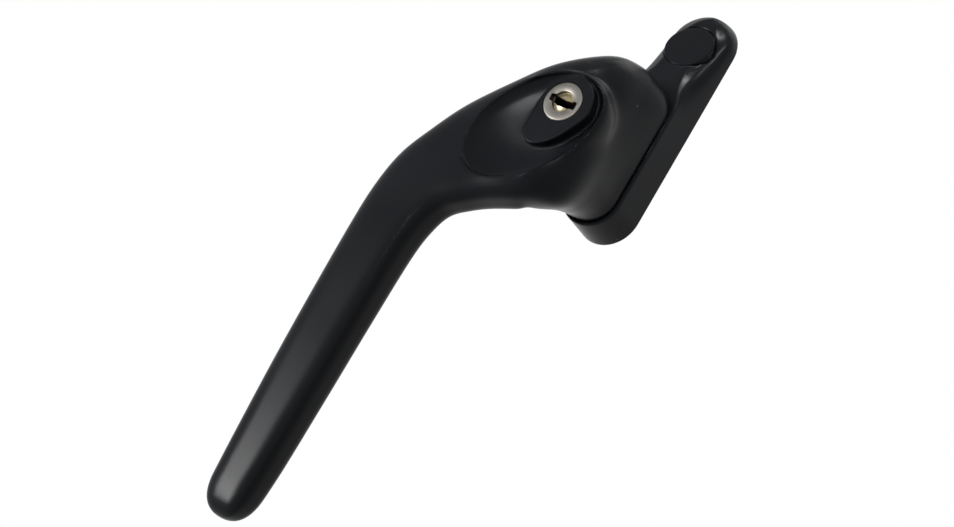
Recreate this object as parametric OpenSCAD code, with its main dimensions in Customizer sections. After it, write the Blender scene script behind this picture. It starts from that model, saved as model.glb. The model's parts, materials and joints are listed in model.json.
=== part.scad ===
// Offset (cranked) key-locking window handle.
// Sizes are millimetres. The part frame has +X to the right as seen from the room, +Z up along
// the base plate and -Y out into the room; the origin is on the turning axis, at the plate's back.
// Every piece is drawn in the plate's own view (x across, y up the plate, z out of the sash)
// and stood up by on_sash().

/* [Base plate] */
// Width of the base plate at its back face
plate_w = 17.4; // [17:0.1:20]
// Overall length of the base plate
plate_l = 66.4; // [64:0.2:76]
// Height of the plate over the upper fixing screw
boss_h = 7.6; // [7:0.1:8.2]
// Height of the raised part under the lever head
pedestal_h = 11.1; // [10.8:0.1:13]
// Where the sloping end leaves the raised part, measured up from the turning axis
slope_top = 8; // [7.8:0.1:8.6]
// Length over which the square shoulders turn into falling ones
shoulder_l = 12.5; // [11:0.1:13]

/* [Fixing screws] */
// Distance between the two fixing screws
screw_pitch = 43; // [42.6:0.1:44]
// Clearance hole for one fixing screw
screw_hole_d = 5.3; // [4.5:0.1:5.6]
// Recess for the head of a fixing screw
screw_head_d = 9.2; // [8.8:0.1:9.4]
// Thickness of metal under a screw head
screw_seat_t = 2.6; // [2:0.1:3.2]
// Diameter of the snap-in screw cap
cap_d = 13; // [12:0.1:13.2]
// Thickness of the screw cap
cap_h = 2.2; // [2:0.1:2.4]
// Gap around the screw cap
cap_gap = 0.13; // [0.1:0.01:0.16]
// Wall thickness of the screw cap
cap_wall = 1; // [0.8:0.1:1.2]

/* [Pivot] */
// Diameter of the hub cast on the lever
hub_d = 12; // [11.8:0.1:12.2]
// Width across the flats of the spindle socket
socket_w = 7.1; // [6.9:0.05:7.2]
// Depth of the spindle socket from the back of the hub
socket_depth = 19; // [14:0.5:20]
// Wall thickness of the pivot bush
bush_wall = 0.85; // [0.7:0.05:0.9]
// Thickness of the pivot bush's flange
bush_flange_t = 0.4; // [0.3:0.05:0.42]
// Radial running clearance of the hub in its bush
run_gap = 0.05; // [0.03:0.01:0.08]
// Gap between the lever head and the base plate
seam_gap = 0.5; // [0.48:0.01:0.6]
// Depth of the recess in the back of the plate
back_recess = 3; // [2.9:0.1:3.2]
// Length of the recess in the back of the plate
back_recess_l = 30.4; // [29:0.2:31]
// Thickness of the steel retaining plate
back_plate_t = 1; // [0.8:0.05:1.1]
// Diameter of the detent balls
ball_d = 2.5; // [2.3:0.05:2.6]
// Length of the detent springs
detent_spring_l = 4.6; // [4:0.1:5]
// Thickness of the retaining ring
ring_t = 0.7; // [0.6:0.05:0.75]

/* [Lever head] */
// Ledge of the base plate that shows around the lever head
ledge = 0.8; // [0.5:0.05:0.9]
// Distance from the sash to the lock's face
lock_h = 39.5; // [39:0.1:41]
// Distance of the lock axis below the turning axis
lock_drop = 13.9; // [13.6:0.1:14.2]
// Distance of the lock axis to the left of the plate's centre line
lock_side = 1.6; // [1.2:0.1:1.8]
// Distance from the sash to the middle of the neck and grip
grip_h = 38.2; // [37.6:0.1:40]

/* [Grip] */
// Distance from the turning axis to the tip of the grip
lever_reach = 138; // [130:0.2:150]
// Sideways offset of the grip from the turning axis
crank_offset = 28; // [26:0.2:30]
// Drop from the turning axis to the start of the straight grip
neck_drop = 62; // [60:0.5:66]
// Width of the grip at its upper end
grip_w = 17.9; // [17:0.1:20]
// Thickness of the grip at its upper end
grip_t = 11.2; // [10.4:0.1:13]

/* [Scooped dish] */
// Length of the dish in the front of the head
dish_l = 38.4; // [37:0.2:39]
// Width of the dish
dish_w = 22.4; // [22:0.2:23.6]
// Depth of the dish below its rim
dish_depth = 2.6; // [2:0.1:3]
// Lean of the dish to the right
dish_lean = 14; // [12:0.5:16]
// Radius of the flat boss around the lock
pod_r = 7.8; // [7.2:0.1:8.2]

/* [Lock] */
// Diameter of the lock's face
face_d = 10.3; // [10:0.1:10.4]
// Thickness of the lock's face disc
face_t = 1.4; // [1.2:0.1:1.6]
// Diameter of the lock plug
plug_d = 8.2; // [8:0.05:8.3]
// Length of the lock barrel
barrel_l = 12; // [11.8:0.1:12.2]
// Width of the key slot
key_w = 7.8; // [7.2:0.1:8]
// Thickness of the key slot
key_t = 1.9; // [1.7:0.05:2]
// Round opening in the middle of the lock's face
eye_d = 5.4; // [5:0.1:5.8]
// Thickness of one wafer
wafer_t = 0.8; // [0.7:0.05:0.9]
// Distance between wafers
wafer_pitch = 2.2; // [2.1:0.05:2.3]
// Width of one wafer across the plug
wafer_w = 5.2; // [5:0.1:5.4]
// Diameter of the bolt
bolt_d = 3.5; // [3.2:0.1:3.6]
// Travel of the bolt for a quarter turn of the key
bolt_travel = 3; // [2.8:0.1:3.1]
// Diameter of the pin that keys the barrel to the lever
pin_d = 1.5; // [1.3:0.1:1.6]

/* [Hidden] */

// One overrun for every cut, one gap between pieces that slide or lie on each other
over = 0.4;
stack_gap = 0.05;
round_steps = 64;

// Base plate: rings from its back edge to its crown, as shares of the half width and of the height
plate_r = plate_w / 2;
plate_c = plate_l / 2 - plate_r;
screw_y = screw_pitch / 2;
arc_steps = 12;
flat_share = [[1, 0], [0.985, 0.3], [0.972, 0.62], [0.966, 0.8], [0.962, 0.93], [0.957, 0.975], [0.945, 0.995],
    [0.928, 1], [0.7, 1], [0.3, 1]];
fall_share = [[1, 0], [0.985, 0.3], [0.95, 0.5], [0.87, 0.66], [0.74, 0.79], [0.6, 0.893], [0.5, 0.972],
    [0.455, 0.998], [0.36, 1], [0.15, 1]];
side_share = [0, 0.3, 0.6, 0.8, 0.92];
shoulder_share = [0, 0.1, 0.2, 0.3, 0.4, 0.5, 0.6, 0.7, 0.8, 0.9, 1];
shoulder_start = slope_top - shoulder_l / 2;
end_fall = (pedestal_h - boss_h) / (screw_y - slope_top);
end_square = 0.3;
cap_edge = 0.3;
top_share = 0.955;

// Pivot stack, counted out from the sash
hub_r = hub_d / 2;
bush_in_r = hub_r + run_gap;
bush_out_r = bush_in_r + bush_wall;
seam_h = pedestal_h + seam_gap;
recess_wall = 1.2;
recess_r = plate_r - recess_wall;
hub_end = 0.2;
back_plate_z = back_recess - stack_gap - back_plate_t;
ring_z = hub_end + ring_t / 2;
groove_depth = 0.65;
ring_width = 1.6;
ring_mouth = 5;
wave_t = 0.3;
wave_lift = 0.25;
wave_r = recess_r - 3 * stack_gap;
ball_r = ball_d / 2;
ball_way_r = ball_r + stack_gap;
ball_z = back_recess + ball_way_r;
ball_groove_depth = 0.8;
ball_y = hub_r - ball_groove_depth + ball_way_r;
detent_wire_r = 0.2;
detent_turns = 5;
socket_corner_r = 4.7;

// Head and lock
head_r = plate_r * top_share - ledge;
head_end = plate_c + head_r;
head_mid = (head_end - head_r) / 2;
head_half = (head_end + head_r) / 2;
face_r = face_d / 2;
face_gap = 0.08;
bore_r = face_r + face_gap;
barrel_r = bore_r - stack_gap;
plug_r = plug_d / 2;
eye_r = eye_d / 2;
face_proud = 0.1;
dome_h = face_t * 0.5;
face_z = lock_h + face_proud - face_t;
chamfer = 0.35;
barrel_top = face_z - stack_gap;
barrel_z = barrel_top - barrel_l;
shoulder_t = 1;
tail_r = plug_r * 0.66;
tail_flat = tail_r * 1.6;
clip_t = 0.5;
clip_drop = 0.15;
clip_z = barrel_z - clip_drop - clip_t;
clip_depth = 0.4;
clip_width = 1.5;
clip_mouth = 3;
cam_t = 1.4;
cam_drop = 0.2;
cam_z = clip_z - cam_drop - cam_t;
cam_r = barrel_r - 3 * stack_gap;
helix_turn = 114;
lug_turn = 22;
helix_pitch = bolt_travel / 90;
helix_gap = 0.12;
helix_in_r = tail_r + 0.3;
helix_out_r = cam_r * 0.88;
helix_step = 6;
lug_h = 0.9;
bolt_r = bolt_d / 2;
bolt_head_t = 1;
bolt_head_z = cam_z - helix_gap - helix_turn * helix_pitch - lug_h - bolt_head_t;
bolt_tip = seam_h + stack_gap;
bolt_head_r = cam_r * 0.95;
way_r = cam_r;
way_w = way_r * 1.6;
guide_t = 1.2;
guide_z = seam_h + 2 * stack_gap;
slide_gap = 0.06;
bolt_wire_r = 0.25;
bolt_turns = 3;
keep_gap = 0.2;
wafer_count = 4;
wafer_play = 0.05;
wafer_spring_r = 0.5;
wafer_spring_l = 2.4;
wafer_wire_r = 0.1;

function lerp(a, b, t) = a + (b - a) * t;
function smooth(t) = t <= 0 ? 0 : t >= 1 ? 1 : t * t * (3 - 2 * t);
function last(v) = v[len(v) - 1];
function turned_over(v) = [for (k = [len(v) - 1 : -1 : 0]) v[k]];

// Stands a piece drawn in the plate's view up on the sash
module on_sash() {
    rotate([90, 0, 0]) children();
}

// A cylinder that starts at height z in the plate's view
module post(r, z, h) {
    translate([0, 0, z]) cylinder(r = r, h = h, $fn = round_steps);
}

// A ring with a bore
module collar(r_out, r_in, z, h) {
    difference() {
        post(r_out, z, h);
        post(r_in, z - over, h + 2 * over);
    }
}

// A square-cornered block centred in the view, from height z up
module block(w, l, z, h) {
    translate([-w / 2, -l / 2, z]) cube([w, l, h]);
}

// A stadium along the plate
module slot(r, l, z, h) {
    c = l / 2 - r;
    union() {
        translate([0, c, 0]) post(r, z, h);
        translate([0, -c, 0]) post(r, z, h);
        block(2 * r, 2 * c, z, h);
    }
}

// A closed skin over rings of points that run anticlockwise as seen from the far end
module skin(rings) {
    n = len(rings[0]);
    m = len(rings);
    foot = [for (p = [0 : n - 1]) 0];
    walls = [for (k = [0 : m - 2]) for (i = [0 : n - 1]) for (s = [0, 1])
        let (a = k * n + i, b = k * n + (i + 1) % n)
        s == 0 ? [a, b + n, b] : [a, a + n, b + n]];
    base = [for (i = [1 : n - 2]) [0, i, i + 1]];
    top = (m - 1) * n;
    lid = [for (i = [1 : n - 2]) [top, top + i + 1, top + i]];
    polyhedron([for (r = rings) for (p = r) p], concat(base, walls, lid), convexity = 8);
}

// A coil spring along z, closed by flat turns of its own wire
module coil(r, wire_r, l, turns, steps = 12, sides = 6) {
    count = turns * steps;
    rise = l - 2 * wire_r;
    ring_of = [for (k = [0 : count])
        let (a = 360 * k / steps, z = wire_r + rise * k / count, c = r - wire_r)
        [for (s = [0 : sides - 1])
            let (b = 360 * s / sides)
            [(c + wire_r * cos(b)) * cos(a), (c + wire_r * cos(b)) * sin(a), z + wire_r * sin(b)]]];
    skin(turned_over(ring_of));
}

// A stadium outline, given as points that run anticlockwise
side_y = concat([for (s = side_share) lerp(-plate_c, shoulder_start, s)],
    [for (s = shoulder_share) shoulder_start + shoulder_l * s]);
function stadium(r, c) = concat(
    [for (y = side_y) [r, y]],
    [for (i = [0 : arc_steps - 1]) [r * cos(180 * i / arc_steps), c + r * sin(180 * i / arc_steps)]],
    [[-r, c]],
    [for (i = [len(side_y) - 1 : -1 : 1]) [-r, side_y[i]]],
    [for (i = [0 : arc_steps - 1]) [-r * cos(180 * i / arc_steps), -c - r * sin(180 * i / arc_steps)]]);

// Height of the plate's top face, and how far its shoulders fall, at a place along the plate
function top_h(y) = pedestal_h - end_fall * max(0, y - slope_top);
function shoulder_fall(y) = smooth((y - shoulder_start) / shoulder_l);

// The cast outside of the base plate: a flat-topped pedestal whose upper end slopes down, with falling shoulders
module plate_form() {
    edge = stadium(plate_r, plate_c);
    rings = [for (k = [0 : len(flat_share) - 1]) [for (p = edge)
        let (spine = max(-plate_c, min(plate_c, p[1])),
             t = shoulder_fall(p[1]) * lerp(end_square, 1, abs(p[0]) / plate_r),
             out = lerp(flat_share[k][0], fall_share[k][0], t),
             up = lerp(flat_share[k][1], fall_share[k][1], t),
             y = spine + (p[1] - spine) * out)
        [p[0] * out, y, top_h(y) * up]]];
    n = len(edge);
    m = len(rings);
    walls = [for (k = [0 : m - 2]) for (i = [0 : n - 1]) for (s = [0, 1])
        let (a = k * n + i, b = k * n + (i + 1) % n)
        s == 0 ? [a, b + n, b] : [a, a + n, b + n]];
    // the back and the crown are closed by strips across the plate, from one long side to the other
    apex = len(side_y) + arc_steps / 2;
    top = (m - 1) * n;
    strips = [for (i = [-arc_steps / 2 : apex - 1]) for (s = [0, 1])
        let (a = (i + n) % n, b = (i + 1 + n) % n, c = (2 * apex - i) % n, d = (2 * apex - i - 1) % n,
             f = s == 0 ? [a, d, b] : [a, c, d])
        if (f[0] != f[1] && f[1] != f[2]) f];
    base = [for (f = strips) [f[0], f[2], f[1]]];
    crown = [for (f = strips) [for (j = f) top + j]];
    polyhedron([for (r = rings) for (p = r) p], concat(base, walls, crown), convexity = 8);
}

// One recessed hole for a fixing screw
module screw_hole() {
    post(screw_hole_d / 2, -over, screw_seat_t + 2 * over);
    post(screw_head_d / 2, screw_seat_t, seam_h);
}

// The way of one detent ball and its spring, open to the back recess
module ball_way(l, z) {
    translate([0, 0, z]) rotate([-90, 0, 0]) cylinder(r = ball_way_r, h = l, $fn = round_steps);
    translate([-ball_way_r, 0, back_recess - over]) cube([2 * ball_way_r, l, z - back_recess + over]);
}

// The seat of the screw cap lies in the sloping face
module at_cap() {
    translate([0, screw_y, boss_h]) rotate([-atan(end_fall), 0, 0]) children();
}

module base_plate() {
    color([0.07, 0.07, 0.075]) on_sash() difference() {
        plate_form();
        slot(recess_r, back_recess_l, -over, back_recess + over);
        post(bush_out_r, 0, seam_h);
        for (s = [-1, 1]) translate([0, s * screw_y, 0]) screw_hole();
        at_cap() post(cap_d / 2 + cap_gap, -cap_h, 2 * cap_h);
        for (a = [0, 180]) rotate([0, 0, a]) ball_way(ball_y + ball_r + detent_spring_l, ball_z);
        translate([-lock_side, -lock_drop, 0]) post(bolt_r + keep_gap, bolt_tip - bolt_travel - keep_gap, seam_h);
    }
}

module screw_cap() {
    color([0.08, 0.08, 0.085]) on_sash() at_cap() difference() {
        union() {
            post(cap_d / 2, stack_gap - cap_h, cap_h - stack_gap - cap_edge);
            translate([0, 0, -cap_edge])
                cylinder(r1 = cap_d / 2, r2 = cap_d / 2 - cap_edge, h = cap_edge, $fn = round_steps);
        }
        post(cap_d / 2 - cap_wall, -cap_h - cap_wall, cap_h);
    }
}

module pivot_bush() {
    color([0.72, 0.6, 0.32]) on_sash() difference() {
        union() {
            post(bush_out_r, back_recess, pedestal_h - back_recess);
            post(bush_out_r + bush_wall, pedestal_h, bush_flange_t);
        }
        post(bush_in_r, 0, seam_h);
        for (a = [0, 180]) rotate([0, 0, a]) ball_way(plate_r, ball_z);
    }
}

module back_plate() {
    color([0.62, 0.62, 0.64]) on_sash() difference() {
        slot(recess_r - 2 * stack_gap, back_recess_l - 4 * stack_gap, back_plate_z, back_plate_t);
        post(hub_r + 2 * stack_gap, 0, back_recess);
    }
}

// A ring that waves up and down three times
module wave_washer() {
    steps = 48;
    z0 = ring_z + ring_t + stack_gap;
    r_in = hub_r - 2 * over;
    r_out = wave_r + 2 * over;
    ring_of = [for (k = [0 : steps - 1])
        let (a = 360 * k / steps, z = z0 + wave_lift * (1 - cos(3 * a)) / 2)
        [[r_in * cos(a), r_in * sin(a), z], [r_out * cos(a), r_out * sin(a), z],
         [r_out * cos(a), r_out * sin(a), z + wave_t], [r_in * cos(a), r_in * sin(a), z + wave_t]]];
    faces = [for (k = [0 : steps - 1]) for (i = [0 : 3]) for (s = [0, 1])
        let (a = 4 * k + i, b = 4 * k + (i + 1) % 4, c = 4 * ((k + 1) % steps) + i,
             d = 4 * ((k + 1) % steps) + (i + 1) % 4)
        s == 0 ? [a, d, c] : [a, b, d]];
    color([0.6, 0.6, 0.62]) on_sash() difference() {
        intersection() {
            polyhedron([for (r = ring_of) for (p = r) p], faces, convexity = 6);
            post(wave_r, 0, back_recess);
        }
        post(hub_r + 2 * stack_gap, 0, back_recess);
    }
}

// A flat ring with a mouth, sprung into a groove
module c_ring(r_in, width, mouth, z, t) {
    difference() {
        collar(r_in + width, r_in, z, t);
        translate([0, -mouth / 2, z - over]) cube([r_in + width + over, mouth, t + 2 * over]);
    }
}

module retaining_ring() {
    color([0.5, 0.5, 0.52]) on_sash()
        c_ring(hub_r - groove_depth + stack_gap, ring_width, ring_mouth, ring_z, ring_t);
}

module detent_ball(side) {
    color([0.75, 0.75, 0.77]) on_sash() translate([0, side * ball_y, ball_z]) sphere(r = ball_r, $fn = round_steps);
}

module upper_detent_ball() {
    detent_ball(1);
}

module lower_detent_ball() {
    detent_ball(-1);
}

module detent_spring(side) {
    color([0.6, 0.6, 0.62]) on_sash() translate([0, side * (ball_y + ball_r), ball_z]) rotate([side * -90, 0, 0])
        coil(ball_r - stack_gap, detent_wire_r, detent_spring_l - stack_gap, detent_turns);
}

module upper_detent_spring() {
    detent_spring(1);
}

module lower_detent_spring() {
    detent_spring(-1);
}

// Stations of the lever from the head's foot to the start of the tip. Each has its centre (across,
// down, out), its tilt out of the foot's plane and its turn down the sash, then its half widths
// to the top side, the under side, the front and the back.
foot_share = [
    [0.000, 0.000, 0.000, 0, 0, 1.00, 1.00, 1.00, 1.00],
    [0.010, 0.005, 0.165, 0, 0, 1.00, 1.00, 1.02, 1.04],
    [0.035, 0.020, 0.390, 8, 3, 1.02, 1.01, 1.12, 1.12],
    [0.030, 0.075, 0.665, 30, 10, 1.03, 1.005, 1.15, 1.06]];
neck_share = [
    [0.180, 0.325, 0.885, 55, 20, 1.83, 2.17, 1.43, 1.38],
    [0.345, 0.420, 0.945, 75, 32, 1.65, 1.93, 1.27, 1.27],
    [0.605, 0.528, 0.960, 88, 42, 1.43, 1.65, 1.16, 1.22],
    [0.790, 0.620, 0.980, 90, 52, 1.19, 1.47, 1.08, 1.11],
    [0.930, 0.722, 0.990, 90, 65, 1.08, 1.28, 1.03, 1.04],
    [0.992, 0.846, 0.995, 90, 78, 1.01, 1.15, 1.00, 1.01],
    [1.002, 1.000, 1.000, 90, 88, 0.97, 1.04, 1.00, 0.98]];
grip_share = [
    [0.995, 0.240, 1, 90, 90, 0.93, 0.99, 0.98, 0.95],
    [0.975, 0.500, 1, 90, 90, 0.89, 0.93, 0.96, 0.92],
    [0.952, 0.760, 1, 90, 90, 0.81, 0.85, 0.92, 0.88],
    [0.945, 0.875, 1, 90, 90, 0.755, 0.79, 0.89, 0.85]];
tip_share = [[0.26, 0.972], [0.50, 0.9], [0.70, 0.78], [0.86, 0.6], [0.96, 0.37], [1.0, 0.14]];
foot_drop = head_mid;
grip_run = lever_reach - neck_drop;
stations = concat(
    [for (s = foot_share) [-crank_offset * s[0], -foot_drop - neck_drop * s[1],
        lerp(seam_h, grip_h, s[2]), s[3], s[4], head_half * s[5], head_half * s[6], head_r * s[7], head_r * s[8]]],
    [for (s = neck_share) [-crank_offset * s[0], -neck_drop * s[1], lerp(seam_h, grip_h, s[2]), s[3], s[4],
        grip_w / 2 * s[5], grip_w / 2 * s[6], grip_t / 2 * s[7], grip_t / 2 * s[8]]],
    [for (s = grip_share) [-crank_offset * s[0], -neck_drop - grip_run * s[1], grip_h, s[3], s[4],
        grip_w / 2 * s[5], grip_w / 2 * s[6], grip_t / 2 * s[7], grip_t / 2 * s[8]]]);

// A smooth curve through the stations
function through(v, k, t) =
    let (n = len(v), p0 = v[max(0, k - 1)], p1 = v[k], p2 = v[min(n - 1, k + 1)], p3 = v[min(n - 1, k + 2)])
    0.5 * (2 * p1 + (p2 - p0) * t + (2 * p0 - 5 * p1 + 4 * p2 - p3) * t * t
        + (3 * p1 - p0 - 3 * p2 + p3) * t * t * t);

// One quarter of a section: how much of it is corner, and how square that corner is
corner_steps = 7;
function corner(a, b, ca, cb, e, q) = [for (i = [0 : corner_steps - 1])
    let (f = 90 * i / corner_steps, g = q % 2 == 0 ? f : 90 - f,
         x = a * (1 - ca + ca * pow(cos(g), 2 / e)), y = b * (1 - cb + cb * pow(sin(g), 2 / e)))
    [q == 0 || q == 3 ? x : -x, q < 2 ? y : -y]];

// A section at one station: x runs to the top side, y to the front; the ridge is front and under
function section(s, far) =
    let (round = 1 - far, ca = lerp(min(1, s[7] / s[5]), 0.9, far), cb = lerp(1, 0.92, far),
         e = lerp(2, 2.7, far), sharp = lerp(2, 4.6, far))
    concat(corner(s[5], s[7], ca, cb, e, 0), corner(s[6], s[7], ca, cb, sharp, 1),
        corner(s[6], s[8], ca, cb, e, 2), corner(s[5], s[8], ca, cb, e, 3));

function placed(s, pts) =
    let (tilt = s[3], turn = s[4], h = [-cos(turn), -sin(turn), 0], a = [-sin(turn), cos(turn), 0],
         b = -cos(tilt) * h + [0, 0, sin(tilt)])
    [for (p = pts) [s[0], s[1], s[2]] + a * p[0] + b * p[1]];

ring_steps = 3;
foot_stations = len(foot_share);
lever_rings = [for (k = [0 : len(stations) - 2]) for (j = [0 : ring_steps - 1])
    let (s = through(stations, k, j / ring_steps), far = smooth((k + j / ring_steps - 0.5) / foot_stations))
    placed(s, section(s, far))];
end_station = last(stations);
tip_l = lever_reach + end_station[1];
tip_rings = concat([placed(end_station, section(end_station, 1))],
    [for (t = tip_share) [for (p = placed(end_station, section(end_station, 1) * t[1])) p + [0, -tip_l * t[0], 0]]]);

// The dish: an oval bowl that leans to the right
dish_at = [-5.48, -22.65, 41.12];
dish_turn = 54.8;
dish_share = [[1.16, 2.2], [1.0, 0], [0.96, -0.45], [0.88, -0.75], [0.72, -0.93], [0.4, -1], [0.1, -1]];
dish_steps = 40;
function oval(share, h) = [for (i = [0 : dish_steps - 1])
    let (a = 360 * i / dish_steps)
    [dish_l / 2 * share * cos(a), dish_w / 2 * share * sin(a), h]];
module dish() {
    translate(dish_at) rotate([0, dish_lean, 0]) rotate([0, 0, dish_turn])
        skin(turned_over([for (d = dish_share) oval(d[0], dish_depth * d[1])]));
}

// The raised rim round the dish, that fills the head out to its front
brim_share = [[1.045, -9], [1.045, -0.5], [1.02, 0]];
module dish_brim() {
    drop = [sin(dish_lean) * cos(dish_turn), -sin(dish_lean) * sin(dish_turn), 0];
    translate(dish_at) rotate([0, dish_lean, 0]) rotate([0, 0, dish_turn])
        skin([for (b = brim_share) [for (p = oval(b[0], b[1])) p + b[1] * drop * -1]]);
}

// The flat boss that holds the lock, with a tail down to the left
pod_share = [[1.02, -0.02], [0.9, 0.45], [0.66, 0.75], [0.3, 0.95], [-0.1, 0.99], [-0.4, 0.82], [-0.62, 0.6],
    [-0.72, 0.42], [-0.74, -1.12], [-0.68, -1.4], [-0.5, -1.54], [-0.2, -1.56], [0.1, -1.44], [0.42, -1.18],
    [0.72, -0.74], [0.92, -0.38]];
module pod() {
    translate([-lock_side, -lock_drop, grip_h - grip_t / 2])
        linear_extrude(height = lock_h - grip_h + grip_t / 2) polygon([for (p = pod_share) p * pod_r]);
}

module at_lock() {
    translate([-lock_side, -lock_drop, 0]) children();
}

// The hub that turns in the bush, with its grooves and the spindle's socket
module hub_cuts() {
    intersection() {
        block(socket_w, socket_w, -over, socket_depth + over);
        post(socket_corner_r, -over, socket_depth + over);
    }
    collar(hub_r + over, hub_r - groove_depth, ring_z - stack_gap, ring_t + 2 * stack_gap);
    translate([0, 0, ball_z]) rotate_extrude($fn = round_steps) translate([ball_y, 0])
        circle(r = ball_way_r, $fn = round_steps);
}

// A round post with two flats, w apart, above and below its axis
module bolt_way(r, w, z, h) {
    intersection() {
        post(r, z, h);
        block(2 * r, w, z, h);
    }
}

module lever_form() {
    difference() {
        union() {
            skin(turned_over(concat(lever_rings, tip_rings)));
            dish_brim();
        }
        dish();
    }
    pod();
}

module lever() {
    color([0.07, 0.07, 0.075]) on_sash() difference() {
        union() {
            lever_form();
            post(hub_r, hub_end, seam_h + over);
        }
        hub_cuts();
        at_lock() post(bore_r, cam_z - helix_turn * helix_pitch - helix_gap - lug_h, lock_h);
        at_lock() bolt_way(way_r, way_w, seam_h - over, cam_z - seam_h);
        at_lock() translate([0, -barrel_r, 0]) post(pin_d / 2, barrel_z, barrel_l / 2);
    }
}

module lock_barrel() {
    color([0.7, 0.58, 0.3]) on_sash() at_lock() difference() {
        post(barrel_r, barrel_z, barrel_l);
        post(plug_r + stack_gap, barrel_z + shoulder_t, barrel_l);
        post(tail_r + stack_gap, barrel_z - over, barrel_l);
        translate([0, -barrel_r, 0]) post(pin_d / 2, barrel_z - over, barrel_l / 2 + over);
    }
}

module barrel_pin() {
    color([0.6, 0.6, 0.62]) on_sash() at_lock() translate([0, -barrel_r, 0])
        post(pin_d / 2, barrel_z, barrel_l / 2);
}

// The wavy key slot, as shares of its half width and half thickness
slot_share = [[-1, 1], [-0.58, 1.25], [-0.28, 0.8], [0.2, 0.6], [0.5, 0.68], [0.86, 0.95], [1.03, 0.68],
    [1.03, -1.28], [0.63, -1.3], [0.18, -1.38], [-0.22, -1.4], [-0.63, -1], [-0.96, -0.72]];
module key_slot(width, z, h) {
    translate([0, 0, z]) linear_extrude(height = h)
        polygon([for (p = slot_share) [p[0] * width / 2, p[1] * key_t / 2]]);
}

plug_slot_w = plug_d * 0.78;
wafer_z = [for (i = [0 : wafer_count - 1]) barrel_z + 2 * shoulder_t + wafer_pitch * i];
spring_y = wafer_w / 2 - 1.4 * wafer_spring_r;

module lock_plug() {
    color([0.78, 0.64, 0.3]) on_sash() at_lock() difference() {
        union() {
            post(plug_r, barrel_z + shoulder_t + stack_gap, face_z - barrel_z - shoulder_t - stack_gap);
            post(eye_r - stack_gap, barrel_z + barrel_l, face_z - barrel_z - barrel_l + dome_h);
            post(tail_r, clip_z - cam_drop, barrel_z - clip_z + cam_drop + shoulder_t + over);
            bolt_way(tail_r, tail_flat, cam_z, clip_z - cam_z);
        }
        key_slot(plug_slot_w, barrel_z + shoulder_t, barrel_l + face_t);
        collar(tail_r + over, tail_r - clip_depth, clip_z - stack_gap, clip_t + 2 * stack_gap);
        for (z = wafer_z) block(plug_d + over, wafer_w + 2 * wafer_play, z - wafer_play, wafer_t + 2 * wafer_play);
        for (z = wafer_z) translate([0, spring_y, 0])
            block(wafer_spring_l + 2 * wafer_play, 2 * (wafer_spring_r + wafer_play),
                z + wafer_t / 2 - wafer_spring_r - wafer_play, 2 * (wafer_spring_r + wafer_play));
    }
}

module plug_face() {
    color([0.75, 0.75, 0.77]) on_sash() at_lock() difference() {
        union() {
            post(face_r, face_z, face_t - chamfer);
            translate([0, 0, face_z + face_t - chamfer])
                cylinder(r1 = face_r, r2 = face_r - chamfer, h = chamfer, $fn = round_steps);
        }
        post(eye_r, face_z - over, face_t + 2 * over);
        key_slot(key_w, face_z - over, face_t + 2 * over);
    }
}

module wafer(i) {
    z = wafer_z[i];
    color([0.72, 0.62, 0.36]) on_sash() at_lock() difference() {
        intersection() {
            block(plug_d, wafer_w, z, wafer_t);
            post(plug_r - stack_gap, z, wafer_t);
        }
        block(plug_slot_w + wafer_play, key_t * 1.45, z - over, wafer_t + 2 * over);
        translate([0, spring_y + over, 0])
            block(wafer_spring_l, 2 * wafer_spring_r + 2 * over, z - over, wafer_t + 2 * over);
    }
}

module wafer_1() {
    wafer(0);
}

module wafer_2() {
    wafer(1);
}

module wafer_3() {
    wafer(2);
}

module wafer_4() {
    wafer(3);
}

module wafer_spring(i) {
    color([0.6, 0.6, 0.62]) on_sash() at_lock()
        translate([-wafer_spring_l / 2, spring_y, wafer_z[i] + wafer_t / 2]) rotate([0, 90, 0])
            coil(wafer_spring_r, wafer_wire_r, wafer_spring_l, 4, 10, 5);
}

module wafer_spring_1() {
    wafer_spring(0);
}

module wafer_spring_2() {
    wafer_spring(1);
}

module wafer_spring_3() {
    wafer_spring(2);
}

module wafer_spring_4() {
    wafer_spring(3);
}

module plug_clip() {
    color([0.5, 0.5, 0.52]) on_sash() at_lock()
        c_ring(tail_r - clip_depth + stack_gap, clip_width, clip_mouth, clip_z, clip_t);
}

// A helical ramp that hangs from height h, or one that stands on it, from angle 0 to its full turn
module helix(r_in, r_out, z, h, turn, drop) {
    steps = ceil(turn / helix_step);
    rings = [for (k = [0 : steps])
        let (a = turn * k / steps, low = z - drop * a)
        [[r_in * cos(a), r_in * sin(a), low], [r_out * cos(a), r_out * sin(a), low],
         [r_out * cos(a), r_out * sin(a), h], [r_in * cos(a), r_in * sin(a), h]]];
    skin(h > z ? turned_over(rings) : rings);
}

module lock_cam() {
    color([0.55, 0.55, 0.57]) on_sash() at_lock() difference() {
        union() {
            post(cam_r, cam_z, cam_t);
            for (a = [0, 180]) rotate([0, 0, a])
                helix(helix_in_r, helix_out_r, cam_z, cam_z + over, helix_turn, helix_pitch);
        }
        bolt_way(tail_r, tail_flat, cam_z - over, cam_t + 2 * over);
    }
}

// The bolt: a pin with a two-flat head, whose two lugs follow the ramps
module lock_bolt() {
    lug_top = cam_z - helix_gap;
    color([0.66, 0.66, 0.68]) on_sash() at_lock() union() {
        post(bolt_r, bolt_tip, bolt_head_z - bolt_tip + over);
        bolt_way(bolt_head_r, way_w - 2 * slide_gap, bolt_head_z, bolt_head_t);
        for (a = [0, 180]) rotate([0, 0, a])
            helix(helix_in_r + helix_gap, helix_out_r - helix_gap, lug_top, bolt_head_z + over, lug_turn, helix_pitch);
    }
}

module bolt_guide() {
    color([0.7, 0.58, 0.3]) on_sash() at_lock() difference() {
        bolt_way(way_r, way_w, guide_z, guide_t);
        post(bolt_r + slide_gap, guide_z - over, guide_t + 2 * over);
    }
}

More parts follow.
